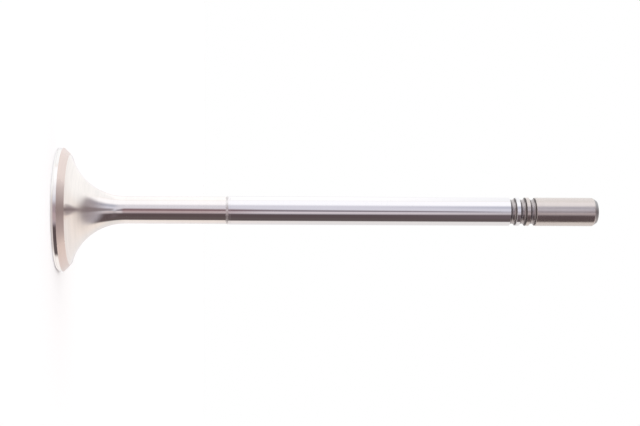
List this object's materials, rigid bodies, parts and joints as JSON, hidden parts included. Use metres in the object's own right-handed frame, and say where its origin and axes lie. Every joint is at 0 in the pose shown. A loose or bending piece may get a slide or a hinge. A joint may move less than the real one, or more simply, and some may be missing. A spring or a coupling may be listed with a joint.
{
  "type": "engine valve",
  "caption": "Engine poppet valve: flat round head with a bevelled seat sweeping into a slim stem, keeper grooves near a chamfered tip.",
  "frame": {"origin": "centre of the flat combustion face, where the valve stands on its head", "axes": "+Z along the stem, from the combustion face towards the tip; X and Y alike, since the valve is a body of revolution"},
  "size_m": [0.0262, 0.026, 0.1129],
  "materials": {
    "valve_steel": "bright steel: chromed guide stretch, ground tip and seat, fine-turned underhead, polished neck"
  },
  "bodies": {
    "root": {"valve": "valve_steel"}
  },
  "joints": []
}
